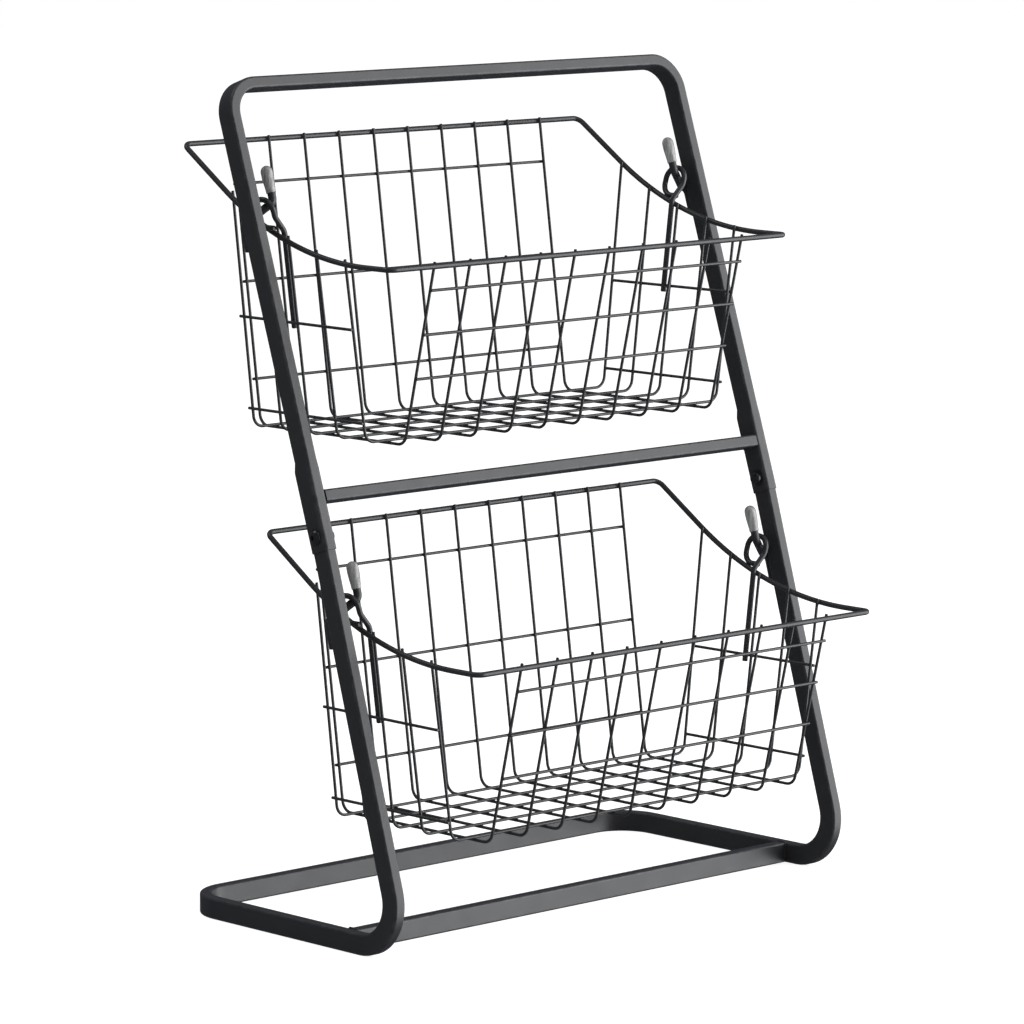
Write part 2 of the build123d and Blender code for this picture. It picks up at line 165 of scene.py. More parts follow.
floor_half = 9.0
floor_mesh = bpy.data.meshes.new("floor")
floor_corners = [(x * floor_half, y * floor_half, 0) for x, y in ((-1, -1), (1, -1), (1, 1), (-1, 1))]
floor_mesh.from_pydata(floor_corners, [], [(0, 1, 2, 3)])
floor = bpy.data.objects.new("floor", floor_mesh)
bpy.context.scene.collection.objects.link(floor)

paper = bpy.data.materials.new("white_paper")
paper.use_nodes = True
paper_tree = paper.node_tree
paper_tree.nodes.remove(paper_tree.nodes["Principled BSDF"])
paper_seen, paper_mirrored = ray_kinds(paper_tree)
paper_matt = new_node(paper_tree, "BsdfDiffuse", {"Color": paper_colour})
paper_gain = new_node(paper_tree, "Math", {0: paper_seen, 1: paper_glow}, operation="MULTIPLY")
paper_lit = new_node(paper_tree, "Emission", {"Strength": paper_gain})
paper_sum = new_node(paper_tree, "AddShader", {0: paper_matt, 1: paper_lit})
paper_clear = new_node(paper_tree, "BsdfTransparent")
paper_shown = new_node(paper_tree, "MixShader", {0: paper_mirrored, 1: paper_sum, 2: paper_clear})
feed(paper_tree.nodes["Material Output"], {"Surface": paper_shown})
floor_mesh.materials.append(paper)

room = bpy.data.worlds.new("room")
room.use_nodes = True
bpy.context.scene.world = room
room_tree = room.node_tree
room_seen, room_mirrored = ray_kinds(room_tree)
room_place = new_node(room_tree, "TexCoord").outputs["Generated"]
room_facing = new_node(room_tree, "VectorMath", {0: room_place, 1: bright_side}, operation="DOT_PRODUCT")
room_side = new_node(
    room_tree,
    "MapRange",
    {"Value": room_facing, "From Min": bright_side_start, "From Max": bright_side_full},
    interpolation_type="SMOOTHSTEP",
)
room_rise = new_node(room_tree, "SeparateXYZ", {0: room_place}).outputs["Z"]
room_over = new_node(room_tree, "Math", {0: room_rise, 1: bright_band_rise}, operation="SUBTRACT")
room_off = new_node(room_tree, "Math", {0: room_over}, operation="ABSOLUTE")
room_band = new_node(
    room_tree,
    "MapRange",
    {"Value": room_off, "From Min": bright_band_end, "From Max": bright_band_full},
    interpolation_type="SMOOTHSTEP",
)
room_bright = new_node(room_tree, "Math", {0: room_side, 1: room_band}, operation="MULTIPLY")
room_tint = new_node(
    room_tree, "Mix", {"Factor": room_bright, "A": mirrored_dark, "B": mirrored_bright}, data_type="RGBA"
)
room_mirror = new_node(room_tree, "Background", {"Color": room_tint, "Strength": mirrored_light})
room_soft = room_tree.nodes["Background"]
feed(room_soft, {"Color": white, "Strength": room_light})
room_unlit = new_node(room_tree, "MixShader", {0: room_mirrored, 1: room_soft, 2: room_mirror})
room_white = new_node(room_tree, "Background", {"Color": white})
room_shown = new_node(room_tree, "MixShader", {0: room_seen, 1: room_unlit, 2: room_white})
feed(room_tree.nodes["World Output"], {"Surface": room_shown})

# Lower tube: one length of flat oblong steel tube, 8 by 14 mm with small rounded edges. It is bent
# into the base loop and both lower uprights, which kink a little before they enter the hoop.
tube_width = 0.008
tube_depth = 0.014
tube_edge = 0.0014
edge_steps = 5
edge_guard = 0.0004
sharp_turn = radians(42)
arc_steps = 16
lower_lean = radians(16.6)
upper_lean = radians(18.4)
front_bend_radius = 0.036
rear_bend_radius = 0.033
kink_radius = 0.060
hang_depth = 0.01076
hang_below_kink = 0.033445
tube_in_mouth = 0.053
hang_points = {
    joint["child"].split("_")[0]: np.array(joint["pos_m"])
    for joint in frame["record"]["behaviour"]["joints"]
}
tube_low, tube_high = (np.array(corner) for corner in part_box("lower_tube"))
upright_x = tube_high[0] - tube_width / 2
x_axis = np.array([1.0, 0, 0])


def up_along(lean):
    """The direction up a line that leans to the back by an angle."""
    return np.array([0, sin(lean), cos(lean)])


def on_upright(tier, x, rise, depth):
    """A point at x, a rise over a tier's hanging line along its upright and a depth behind its
    front face: the hanging point, plus the rise along the lean, plus the depth square to it."""
    lean = upper_lean if tier == "upper" else lower_lean
    back = np.array([0, cos(lean), -sin(lean)])
    return hang_points[tier] + np.array([x, 0, 0]) + rise * up_along(lean) + (depth - hang_depth) * back


def unit(vectors):
    """The same vectors at length 1."""
    return vectors / np.linalg.norm(vectors, axis=-1, keepdims=True)


def bent_line(corners, radii, closed=False, steps=arc_steps):
    """Stations and tangents of a line bent at its corners. An arc starts radius * tan(half its
    turn) before the corner. From there it goes radius * sin(angle) along its first run and
    radius * (1 - cos(angle)) inwards, and its tangent is cos(angle) and sin(angle) of the two."""
    corners = np.asarray(corners, float)
    if closed:
        before, here, after = np.roll(corners, 1, axis=0), corners, np.roll(corners, -1, axis=0)
    else:
        before, here, after = corners[:-2], corners[1:-1], corners[2:]
    run = unit(here - before)
    next_run = unit(after - here)
    cosine = (run * next_run).sum(axis=1, keepdims=True)
    inward = unit(next_run - run * cosine)
    turn = np.arccos(cosine)
    radii = np.broadcast_to(np.asarray(radii, float), len(here))[:, None]
    start = here - run * radii * np.tan(turn / 2)
    angle = turn[:, :, None] * np.linspace(0, 1, steps + 1)[None, :, None]
    across = radii[:, :, None]
    points = start[:, None] + across * (
        run[:, None] * np.sin(angle) + inward[:, None] * (1 - np.cos(angle))
    )
    tangents = run[:, None] * np.cos(angle) + inward[:, None] * np.sin(angle)
    points, tangents = points.reshape(-1, 3), tangents.reshape(-1, 3)
    if closed:
        return points, tangents
    points = np.vstack([corners[:1], points, corners[-1:]])
    ends = unit(np.array([corners[1] - corners[0], corners[-1] - corners[-2]]))
    return points, np.vstack([ends[:1], tangents, ends[1:]])


def carry(outline, points, tangents, side):
    """Rings of a profile carried along a line. A ring is its station plus outline x times the side
    and outline y times the lift. The side turns from ring to ring just as the tangent turns."""
    sides = [unit(side - tangents[0] * (side @ tangents[0]))]
    for old, new in zip(tangents[:-1], tangents[1:]):
        axis = np.cross(old, new)
        last = sides[-1]
        turned = last * (old @ new) + np.cross(axis, last) + axis * (axis @ last) / (1 + old @ new)
        sides.append(turned)
    sides = np.array(sides)
    lifts = np.cross(tangents, sides)
    outline = np.broadcast_to(outline, (len(points), *outline.shape[-2:]))
    return points[:, None] + outline[..., :1] * sides[:, None] + outline[..., 1:] * lifts[:, None]


def rounded_outline(width, depth, edge):
    """A rectangle with rounded edges: each corner is an arc of a quarter turn about a point one
    edge radius inside it, with a further point a little along the flat on either side."""
    angles = np.linspace(0, pi / 2, edge_steps + 1)
    arc = edge * np.stack([np.cos(angles), np.sin(angles)], axis=1)
    arc = np.vstack([arc[:1] - [0, edge_guard], arc, arc[-1:] - [edge_guard, 0]])
    turns = [np.array([[cos(a), sin(a)], [-sin(a), cos(a)]]) for a in np.arange(4) * pi / 2]
    halves = np.array([width / 2 - edge, depth / 2 - edge])
    signs = np.array([[1, 1], [-1, 1], [-1, -1], [1, -1]])
    return np.vstack([arc @ turn + halves * sign for turn, sign in zip(turns, signs)])


def skin(rings, closed=False):
    """Corners and faces over a grid of rings: four-sided faces join each ring to the next, and
    the open ends of the grid get one face each."""
    count, around = rings.shape[:2]
    ids = np.arange(count * around).reshape(count, around)
    low = ids if closed else ids[:-1]
    high = np.roll(ids, -1, axis=0) if closed else ids[1:]
    quads = np.stack([low, np.roll(low, -1, axis=1), np.roll(high, -1, axis=1), high], axis=-1)
    faces = quads.reshape(-1, 4).tolist()
    if not closed:
        faces += [ids[0, ::-1].tolist(), ids[-1].tolist()]
    return rings.reshape(-1, 3), faces


def new_piece(name, skins, material, edge_marks=None):
    """An object whose mesh holds all the skins given, shaded smooth but for sharp turns. Edge marks,
    where given, are 1 on its rounded edges and 0 elsewhere, one for each corner of the mesh."""
    corners, faces, start = [], [], 0
    for skin_corners, skin_faces in skins:
        corners.append(skin_corners)
        faces += [[start + index for index in face] for face in skin_faces]
        start += len(skin_corners)
    mesh = bpy.data.meshes.new(name)
    mesh.from_pydata(np.vstack(corners).tolist(), [], faces)
    mesh.shade_smooth()
    mesh.set_sharp_from_angle(angle=sharp_turn)
    mesh.materials.append(material)
    if edge_marks is not None:
        mesh.attributes.new("edge", "FLOAT", "POINT").data.foreach_set("value", edge_marks)
    piece = bpy.data.objects.new(name, mesh)
    bpy.context.scene.collection.objects.link(piece)
    return piece


def effect_group(name, inputs, outputs):
    """A shader node group with number inputs, given with their values, and the named outputs. With
    it come the sockets that its inputs arrive at, and the node that its outputs leave by."""
    group = bpy.data.node_groups.new(name, "ShaderNodeTree")
    for socket, value in inputs.items():
        item = group.interface.new_socket(socket, in_out="INPUT", socket_type="NodeSocketFloat")
        item.default_value = value
    for socket in outputs:
        group.interface.new_socket(socket, in_out="OUTPUT", socket_type="NodeSocketFloat")
    return group, group.nodes.new("NodeGroupInput").outputs, group.nodes.new("NodeGroupOutput")


# Powder coat: melted powder levels into a fine orange peel with a finer grain on it, and clouds
# of slightly different black
coat_grain, grain_in, grain_out = effect_group(
    "coat_grain", {"Peel Scale": 700.0, "Grain Scale": 3200.0, "Grain Share": 0.35}, ["Height", "Mottle"]
)
grain_place = new_node(coat_grain, "TexCoord").outputs["Object"]
grain_peel = new_node(
    coat_grain, "TexNoise", {"Vector": grain_place, "Scale": grain_in["Peel Scale"], "Detail": 1.0}
)
grain_fine = new_node(
    coat_grain, "TexNoise", {"Vector": grain_place, "Scale": grain_in["Grain Scale"], "Detail": 2.0}
)
grain_mix = new_node(
    coat_grain, "Mix", {"Factor": grain_in["Grain Share"], "A": grain_peel, "B": grain_fine}
)
grain_cloud = new_node(coat_grain, "TexNoise", {"Vector": grain_place, "Scale": 60.0, "Detail": 4.0})
feed(grain_out, {"Height": grain_mix, "Mottle": grain_cloud})

# Thin edges: the powder draws back from a sharp edge, and handling rubs it there in patches
thin_edge, edge_in, edge_out = effect_group(
    "thin_edge", {"Amount": 0.5, "Patch Scale": 160.0}, ["Mask"]
)
edge_place = new_node(thin_edge, "TexCoord").outputs["Object"]
edge_patch = new_node(
    thin_edge, "TexNoise", {"Vector": edge_place, "Scale": edge_in["Patch Scale"], "Detail": 5.0}
)
edge_ramp = new_node(thin_edge, "MapRange", {"Value": edge_patch, "From Min": 0.40, "From Max": 0.66})
edge_mark = new_node(thin_edge, "Attribute", attribute_name="edge").outputs["Fac"]
edge_rubbed = new_node(thin_edge, "Math", {0: edge_ramp, 1: edge_mark}, operation="MULTIPLY")
edge_share = new_node(thin_edge, "Math", {0: edge_rubbed, 1: edge_in["Amount"]}, operation="MULTIPLY")
feed(edge_out, {"Mask": edge_share})

# Dust: a faint speckled film that settles on what faces up
fine_dust, dust_in, dust_out = effect_group("fine_dust", {"Amount": 0.1, "Speck Scale": 1400.0}, ["Mask"])
dust_place = new_node(fine_dust, "TexCoord").outputs
dust_facing = new_node(fine_dust, "SeparateXYZ", {0: dust_place["Normal"]}).outputs["Z"]
dust_slope = new_node(fine_dust, "MapRange", {"Value": dust_facing, "From Min": 0.55})
dust_speck = new_node(
    fine_dust,
    "TexNoise",
    {"Vector": dust_place["Object"], "Scale": dust_in["Speck Scale"], "Detail": 6.0},
)
dust_ramp = new_node(fine_dust, "MapRange", {"Value": dust_speck, "From Min": 0.42, "From Max": 0.74})
dust_film = new_node(fine_dust, "Math", {0: dust_slope, 1: dust_ramp}, operation="MULTIPLY")
dust_share = new_node(fine_dust, "Math", {0: dust_film, 1: dust_in["Amount"]}, operation="MULTIPLY")
feed(dust_out, {"Mask": dust_share})

rubbed_colour = (0.075, 0.077, 0.082, 1)
dust_colour = (0.16, 0.155, 0.145, 1)
edge_polish = -0.12
dust_dulling = 0.8


def powder_coat(name, dark, light, roughness, roughness_spread, peel_height, grain_values):
    """Black powder coat on steel: its colour and roughness drift with the mottle, the grain raises
    it by up to the peel height, thin edges are lighter and smoother, and dust is paler and dull."""
    material = bpy.data.materials.new(name)
    material.use_nodes = True
    tree = material.node_tree
    grain = new_node(tree, "Group", grain_values, node_tree=coat_grain).outputs
    edge = new_node(tree, "Group", {"Amount": 0.55}, node_tree=thin_edge)
    dust = new_node(tree, "Group", {"Amount": 0.16}, node_tree=fine_dust)
    tint = new_node(tree, "Mix", {"Factor": grain["Mottle"], "A": dark, "B": light}, data_type="RGBA")
    rubbed = new_node(tree, "Mix", {"Factor": edge, "A": tint, "B": rubbed_colour}, data_type="RGBA")
    dusted = new_node(tree, "Mix", {"Factor": dust, "A": rubbed, "B": dust_colour}, data_type="RGBA")
    spread = new_node(
        tree,
        "MapRange",
        {
            "Value": grain["Mottle"],
            "From Min": 0.3,
            "From Max": 0.7,
            "To Min": roughness - roughness_spread,
            "To Max": roughness + roughness_spread,
        },
    )
    polish = new_node(tree, "Math", {0: edge, 1: edge_polish, 2: spread}, operation="MULTIPLY_ADD")
    dulled = new_node(tree, "Math", {0: dust, 1: dust_dulling, 2: polish}, operation="MULTIPLY_ADD")
    bump = new_node(tree, "Bump", {"Strength": 0.5, "Distance": peel_height, "Height": grain["Height"]})
    shader = tree.nodes["Principled BSDF"]
    feed(shader, {"IOR": 1.5, "Base Color": dusted, "Roughness": dulled, "Normal": bump})
    return material


frame_coat = powder_coat(
    "frame_coat",
    dark=(0.029, 0.030, 0.032, 1),
    light=(0.042, 0.043, 0.046, 1),
    roughness=0.40,
    roughness_spread=0.04,
    peel_height=0.00003,
    grain_values={"Peel Scale": 700.0, "Grain Scale": 3200.0},
)

outline_marks = np.tile([0.0] + [1.0] * (edge_steps + 1) + [0.0], 4)
tube_outline = rounded_outline(tube_width, tube_depth, tube_edge)
kink_point = on_upright("lower", 0, hang_below_kink, tube_depth / 2)
tube_end = kink_point + tube_in_mouth * up_along(upper_lean)
bend_axis = front_bend_radius - tube_depth / 2
bend_centre = tube_low[1] + front_bend_radius
bend_end = np.array(
    [0, bend_centre - bend_axis * cos(lower_lean), front_bend_radius + bend_axis * sin(lower_lean)]
)
foot_run = (tube_depth / 2 - bend_end[2]) / cos(lower_lean)
side_view = np.array(
    [
        tube_end,
        kink_point,
        bend_end + foot_run * up_along(lower_lean),
        (0, tube_high[1] - tube_width / 2, tube_depth / 2),
    ]
)
to_side = np.array([upright_x, 0, 0])
bend_radii = [kink_radius, bend_axis, rear_bend_radius - tube_width / 2]
points, tangents = bent_line(
    np.vstack([side_view - to_side, side_view[::-1] + to_side]), bend_radii + bend_radii[::-1]
)
lower_tube = new_piece(
    "lower_tube_bent",
    [skin(carry(tube_outline, points, tangents, x_axis))],
    frame_coat,
    np.tile(outline_marks, len(points)),
)
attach(lower_tube, "frame")
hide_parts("lower_tube")

# Bars: two straight lengths of the same tube, one across the base and one between the mouths.
# They are butted between the uprights and welded on three sides, and the coat covers the beads.
bead_radius = 0.0008
bead_ripple = 0.16
bead_pitch = 0.0016
bead_steps = 10
bead_bend_steps = 6
bead_tip_share = 0.25
stops_to_ripple = 5
y_axis = np.array([0, 1.0, 0])


def circle(radius, sides):
    """A round profile: points at even angles, at radius times the cosine and the sine."""
    angles = np.linspace(0, 2 * pi, sides, endpoint=False)
    return radius * np.stack([np.cos(angles), np.sin(angles)], axis=1)


def weld_bead(corners, bend, radius):
    """A weld bead along a bent line: a circle carried along it at even steps. Its radius swells
    and shrinks with the sine of the length along the line, and draws in at both ends."""
    points, _ = bent_line(corners, bend, steps=bead_bend_steps)
    reach = np.concatenate([[0], np.linalg.norm(np.diff(points, axis=0), axis=1).cumsum()])
    stops = np.linspace(0, reach[-1], int(stops_to_ripple * reach[-1] / bead_pitch) + 2)
    line = np.stack([np.interp(stops, reach, points[:, axis]) for axis in range(3)], axis=1)
    tangents = unit(np.gradient(line, axis=0))
    ripple = 1 + bead_ripple * np.sin(2 * pi * stops / bead_pitch)
    drawn = np.clip(np.minimum(stops, stops[::-1]) / radius, bead_tip_share, 1) * ripple
    return skin(carry(circle(radius, bead_steps) * drawn[:, None, None], line, tangents, x_axis))


def straight_bar(name, node, narrow, plain):
    """A bar along X in the box of its node: the tube's outline carried between its two ends. The
    narrow direction is that of its 8 mm side, and a bead goes round each end on three sides,
    leaving the wide direction's positive side plain, or its negative side where plain is -1."""
    low, high = (np.array(corner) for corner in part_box(node))
    middle = (low + high) / 2
    ends = np.array([[low[0], *middle[1:]], [high[0], *middle[1:]]])
    tangents = np.array([x_axis, x_axis])
    skins = [skin(carry(tube_outline, ends, tangents, narrow))]
    marks = np.tile(outline_marks, 2)
    wide = np.cross(x_axis, narrow)
    open_depth = plain * (tube_depth / 2 - tube_edge - bead_radius)
    bead_stops = [
        (-tube_width / 2, open_depth),
        (-tube_width / 2, -plain * tube_depth / 2),
        (tube_width / 2, -plain * tube_depth / 2),
        (tube_width / 2, open_depth),
    ]
    for end in ends:
        bead_line = [end + across * narrow + deep * wide for across, deep in bead_stops]
        skins.append(weld_bead(bead_line, tube_edge, bead_radius))
        marks = np.concatenate([marks, np.zeros(len(skins[-1][0]))])
    return new_piece(name, skins, frame_coat, marks)


front_bar = straight_bar("front_bar_welded", "front_bar", y_axis, -1)
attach(front_bar, "frame")
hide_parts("front_bar")

mid_bar = straight_bar("mid_bar_welded", "mid_bar", up_along(upper_lean), 1)
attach(mid_bar, "frame")
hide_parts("mid_bar")

# Upper hoop: the same tube bent into a hoop. Both ends are swelled in a press into mouths that
# slide over the lower uprights, so a thin dark seam and a slight step show at each.
hang_above_seam = 0.22363
hoop_over_hang = 0.0859
hoop_bend_radius = 0.025
mouth_length = 0.059
mouth_taper = 0.006
mouth_wall = 0.0008
mouth_gap = 0.00005
mouth_lip = 0.0003


def hoop_rings():
    """The hoop's outline carried from mouth to mouth. Each mouth starts inside, comes out over a
    rounded lip, runs at its full swell and tapers into the tube; its middle lies further back by
    the swell, so that the front faces stay flush."""
    swell = mouth_gap + mouth_wall
    rises = [
        mouth_length - mouth_taper,
        mouth_lip,
        0,
        0,
        mouth_lip,
        mouth_length - mouth_taper,
        mouth_length,
    ]
    swells = [mouth_gap, mouth_gap, mouth_gap + mouth_lip / 2, swell - mouth_lip / 2, swell, swell, 0]
    backs = [swell] * (len(rises) - 1) + [0]
    seam = -hang_above_seam
    top = hoop_over_hang - tube_width / 2
    corners = [
        on_upright("upper", x, rise, tube_depth / 2)
        for x, rise in (
            (-upright_x, seam + mouth_length),
            (-upright_x, top),
            (upright_x, top),
            (upright_x, seam + mouth_length),
        )
    ]
    points, tangents = bent_line(corners, hoop_bend_radius - tube_width / 2)
    mouth_points = np.array(
        [
            on_upright("upper", -upright_x, seam + rise, tube_depth / 2 + back)
            for rise, back in zip(rises, backs)
        ]
    )
    mirror = np.array([-1, 1, 1])
    points = np.vstack([mouth_points, points[1:-1], mouth_points[::-1] * mirror])
    tangents = np.vstack(
        [tangents[:1].repeat(len(rises), 0), tangents[1:-1], tangents[-1:].repeat(len(rises), 0)]
    )
    swells = np.array(swells + [0] * (len(points) - 2 * len(rises)) + swells[::-1])
    outlines = np.array(
        [
            rounded_outline(tube_width + 2 * s, tube_depth + 2 * s, tube_edge + s)
            for s in swells
        ]
    )
    return carry(outlines, points, tangents, x_axis)


swelled_rings = hoop_rings()
upper_hoop = new_piece(
    "upper_hoop_swelled",
    [skin(swelled_rings)],
    frame_coat,
    np.tile(outline_marks, len(swelled_rings)),
)
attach(upper_hoop, "frame")
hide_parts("upper_hoop")

# Bolts: black button heads on the outer sides of the mouths, with a hexagon socket for the key.
# The shank goes through both tubes.
bolt_rise = 0.0095
bolt_radius = 0.0025
head_radius = 0.005
head_height = 0.0028
head_rim = 0.0007
socket_radius = 0.0016
socket_depth = 0.0015
socket_lip_drop = 0.0001
socket_cone = 0.0004
socket_cone_share = 0.2
socket_lip_shares = (1.15, 1.02)
bolt_end = 0.003
bolt_tip_share = 0.8
bolt_tip_start_share = 0.9
foot_share = 0.98
edge_rise_shares = (0.2, 0.8)
dome_power = 2.2
dome_stops = 9
turn_steps = 48
z_axis = np.array([0, 0, 1.0])

fastener_coat = powder_coat(
    "fastener",
    dark=(0.012, 0.012, 0.013, 1),
    light=(0.030, 0.030, 0.032, 1),
    roughness=0.15,
    roughness_spread=0.03,
    peel_height=0.00001,
    grain_values={"Peel Scale": 1500.0, "Grain Scale": 5000.0},
)


def turned_rings(reach_and_radius, seat, axis, facets=None):
    """A profile turned about an axis: each ring lies its reach along the axis from the seat, and its
    points are its radius away at even angles. Where facets are asked for, a ring with a third
    value over 0 is a polygon of that many sides. Its corners keep the radius, and elsewhere that
    is multiplied by cos(half a side's turn) / cos(angle from the middle of the side)."""
    profile = np.array(reach_and_radius, float)
    angle = np.linspace(0, 2 * pi, turn_steps, endpoint=False)
    radii = np.repeat(profile[:, 1:2], turn_steps, axis=1)
    if facets:
        side_turn = 2 * pi / facets
        off_middle = (angle % side_turn) - side_turn / 2
        flattened = cos(side_turn / 2) / np.cos(off_middle)
        radii = np.where(profile[:, 2:3] > 0, radii * flattened, radii)
    guide = z_axis if abs(axis[0]) > 0.5 else x_axis
    across = unit(np.cross(guide, axis))
    spokes = np.cos(angle)[:, None] * across + np.sin(angle)[:, None] * np.cross(axis, across)
    return seat + profile[:, None, :1] * axis + radii[..., None] * spokes


inner_face_x = upright_x - tube_width / 2
mouth_face_x = upright_x + tube_width / 2 + mouth_gap + mouth_wall
mouth_inner_x = inner_face_x - mouth_gap - mouth_wall
bolt_line = on_upright("upper", 0, bolt_rise - hang_above_seam, tube_depth / 2 + mouth_gap + mouth_wall)
dome_profile = [
    (
        head_rim + (head_height - head_rim) * (1 - dome_share**dome_power),
        socket_radius + (head_radius - socket_radius) * dome_share,
        0,
    )
    for dome_share in np.linspace(0, 1, dome_stops)[::-1]
]
head_profile = [
    (mouth_inner_x - mouth_face_x - bolt_end, bolt_radius * bolt_tip_share, 0),
    (mouth_inner_x - mouth_face_x - bolt_end * bolt_tip_start_share, bolt_radius, 0),
    (0, bolt_radius, 0),
    (0, head_radius * foot_share, 0),
    (head_rim * edge_rise_shares[0], head_radius, 0),
    (head_rim * edge_rise_shares[1], head_radius, 0),
    *dome_profile[:-1],
    (head_height, socket_radius * socket_lip_shares[0], 0),
    (head_height - socket_lip_drop, socket_radius * socket_lip_shares[1], 1),
    (head_height - socket_depth, socket_radius, 1),
    (head_height - socket_depth - socket_cone, socket_radius * socket_cone_share, 0),
]
bolt_skins = []
for side in (-1, 1):
    outward = np.array([float(side), 0, 0])
    seat = bolt_line + side * np.array([mouth_face_x, 0, 0])
    bolt_skins.append(skin(turned_rings(head_profile, seat, outward, facets=6)))
bolts = new_piece("bolts_turned", bolt_skins, fastener_coat)
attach(bolts, "frame")
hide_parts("bolts")

# Dome nuts: a round polished cap on a washer foot, screwed up against the inner sides.
washer_radius = 0.0055
washer_thickness = 0.0008
nut_radius = 0.0043
nut_height = 0.0044
nut_neck = 0.0019
nut_steps = 10
nut_foot_rise_share = 1.2
nut_foot_share = 1.02
washer_top_share = 0.97
pole_radius = 0.0002
nut_profile = [
    (0, washer_radius * foot_share, 0),
    (washer_thickness * edge_rise_shares[0], washer_radius, 0),
    (washer_thickness * edge_rise_shares[1], washer_radius, 0),
    (washer_thickness, washer_radius * washer_top_share, 0),
    (washer_thickness, nut_radius * nut_foot_share, 0),
    (washer_thickness * nut_foot_rise_share, nut_radius, 0),
] + [
    (nut_neck + (nut_height - nut_neck) * sin(a), max(nut_radius * cos(a), pole_radius), 0)
    for a in np.linspace(0, pi / 2, nut_steps)
]
nut_skins = []
for side in (-1, 1):
    inward = np.array([-float(side), 0, 0])
    seat = bolt_line + side * np.array([mouth_inner_x, 0, 0])
    nut_skins.append(skin(turned_rings(nut_profile, seat, inward)))
nuts = new_piece("nuts_domed", nut_skins, fastener_coat)
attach(nuts, "frame")
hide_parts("nuts")

# Swan-neck pegs: 5.4 mm rod welded along the rear face of each upright. It crosses in and forward
# through the basket's eye and rises beside the upright. A bead runs along both sides of its shank.
peg_diameter = 0.0054
peg_bend_radius = 0.005
peg_shank_depth = 0.01671
peg_riser_depth = 0.006
peg_turn_inset = 0.001
peg_riser_inset = 0.0154
turn_x = inner_face_x - peg_turn_inset
riser_x = inner_face_x - peg_riser_inset
neck_below_hang = 0.007089
peg_turn_rise = 0.0022
peg_neck_rise = 0.011
peg_shank_length = 0.018
peg_riser_length = 0.0228
rod_sides = 24
wire_sides = 16
end_rings = 4
end_share = 0.35
shank_bead_radius = 0.0010
shank_bead_inset = 0.0021
shank_bead_margin = 0.002


def rod(points, tangents, diameter, side, sides=wire_sides):
    """A circle carried along a line with two cut ends. Each end is rounded by rings that draw in
    by an edge radius * (1 - cos) over a length of edge radius * (1 - sin)."""
    edge = end_share * diameter / 2
    rounding = np.linspace(pi / 2, 0, end_rings)
    insets = edge * (1 - np.sin(rounding))[:, None]
    points = np.vstack(
        [
            points[0] + tangents[0] * insets,
            points[1:-1],
            points[-1] - tangents[-1] * insets[::-1],
        ]
    )
    tangents = np.vstack(
        [tangents[:1].repeat(end_rings, 0), tangents[1:-1], tangents[-1:].repeat(end_rings, 0)]
    )
    drawn = 1 - end_share * (1 - np.cos(rounding))
    scales = np.concatenate([drawn, np.ones(len(points) - 2 * end_rings), drawn[::-1]])
    return skin(carry(circle(diameter / 2, sides) * scales[:, None, None], points, tangents, side))


for tier in ("upper", "lower"):
    for hand, side in (("left", -1), ("right", 1)):
        peg_stops = [
            (upright_x, -neck_below_hang - peg_shank_length, peg_shank_depth),
            (upright_x, -neck_below_hang, peg_shank_depth),
            (turn_x, peg_turn_rise - neck_below_hang, peg_shank_depth),
            (riser_x, peg_neck_rise - neck_below_hang, peg_riser_depth),
            (riser_x, peg_neck_rise + peg_riser_length - neck_below_hang, peg_riser_depth),
        ]
        corners = [on_upright(tier, side * x, rise, depth) for x, rise, depth in peg_stops]
        skins = [rod(*bent_line(corners, peg_bend_radius), peg_diameter, x_axis, sides=rod_sides)]
        bead_rises = (
            shank_bead_margin - neck_below_hang - peg_shank_length,
            -shank_bead_margin - neck_below_hang,
        )
        for edge in (-shank_bead_inset, shank_bead_inset):
            bead_line = [
                on_upright(tier, side * upright_x + edge, rise, tube_depth + shank_bead_radius / 2)
                for rise in bead_rises
            ]
            skins.append(weld_bead(bead_line, 0, shank_bead_radius))
        peg = new_piece(f"{tier}_{hand}_peg_bent", skins, frame_coat)
        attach(peg, "frame")
        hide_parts(f"{tier}_{hand}_peg")

# Peg caps: soft grey vinyl, dipped and pulled over each peg, with streaks along it. They widen
# from a thin mouth to a thick round end, and the dark peg shows through a little.
cap_length = 0.018
cap_past_peg = 0.0012
cap_reach = peg_neck_rise + peg_riser_length - neck_below_hang + cap_past_peg
cap_mouth_radius = 0.0032
cap_lip_inset = 0.0003
cap_lip_rise = 0.0002
cap_wall_steps = 10
cap_dome_steps = 9
cap_bulge = 0.00075
cap_bulge_rise = 0.0112
cap_dome = 0.0042

cap_vinyl = bpy.data.materials.new("cap_vinyl")
cap_vinyl.use_nodes = True
vinyl_tree = cap_vinyl.node_tree
vinyl_place = new_node(vinyl_tree, "TexCoord").outputs["Object"]
vinyl_drawn = new_node(vinyl_tree, "Mapping", {"Vector": vinyl_place, "Scale": (1, 1, 0.12)})
vinyl_cloud = new_node(vinyl_tree, "TexNoise", {"Vector": vinyl_drawn, "Scale": 620.0, "Detail": 3.0})
vinyl_streak = new_node(vinyl_tree, "MapRange", {"Value": vinyl_cloud, "From Min": 0.36, "From Max": 0.64})
vinyl_tint = new_node(
    vinyl_tree,
    "Mix",
    {"Factor": vinyl_streak, "A": (0.36, 0.365, 0.37, 1), "B": (0.66, 0.665, 0.67, 1)},
    data_type="RGBA",
)
vinyl_bump = new_node(vinyl_tree, "Bump", {"Strength": 0.3, "Distance": 0.0001, "Height": vinyl_cloud})
vinyl = vinyl_tree.nodes["Principled BSDF"]
feed(vinyl, {"IOR": 1.52, "Roughness": 0.26, "Transmission Weight": 0.3})
